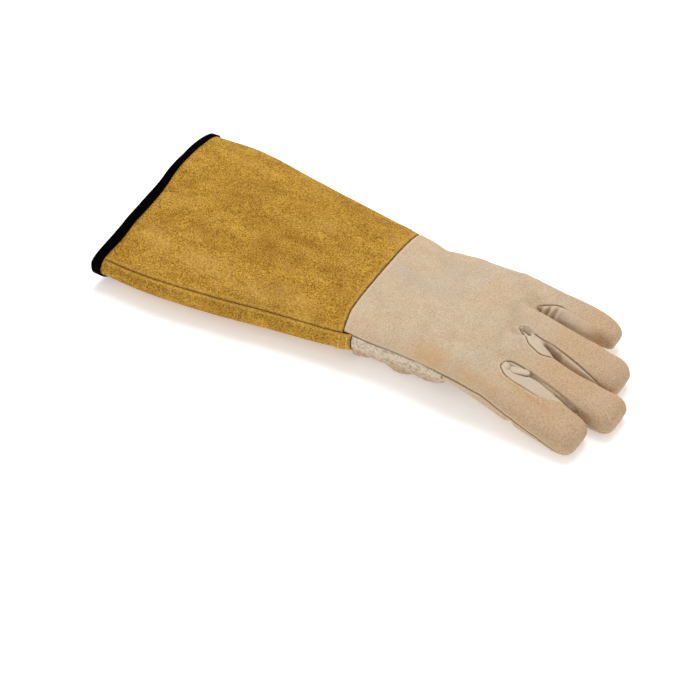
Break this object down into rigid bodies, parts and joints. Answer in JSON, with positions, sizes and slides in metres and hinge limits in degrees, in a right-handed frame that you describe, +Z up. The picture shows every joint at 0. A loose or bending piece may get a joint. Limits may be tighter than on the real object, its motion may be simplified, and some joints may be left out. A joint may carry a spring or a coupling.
{
  "type": "fireplace glove",
  "caption": "Left-hand leather fireplace glove with a long tan split-leather gauntlet cuff, black edge binding and a pale pigskin hand, lying palm down with its thumb folded under.",
  "frame": {"origin": "the middle of the footprint, on the surface that the glove lies on", "axes": "+X from the cuff's opening to the fingertips, +Y from the thumb's side to the little finger's side, +Z up, out of the back of the hand"},
  "size_m": [0.4188, 0.176, 0.0408],
  "materials": {
    "split_leather": "napped suede",
    "pigskin": "dull grain with fine pores",
    "binding_tape": "dull woven"
  },
  "bodies": {
    "root": {"cuff_back": "split_leather", "cuff_palm": "split_leather", "cuff_binding": "binding_tape", "hand_back": "pigskin", "palm_front": "pigskin", "index_front": "pigskin", "middle_front": "pigskin", "ring_front": "pigskin", "fourchette_index_middle": "pigskin", "fourchette_middle_ring": "pigskin", "fourchette_ring_little": "pigskin", "thumb_outer": "pigskin", "thumb_inner": "pigskin"}
  },
  "joints": []
}
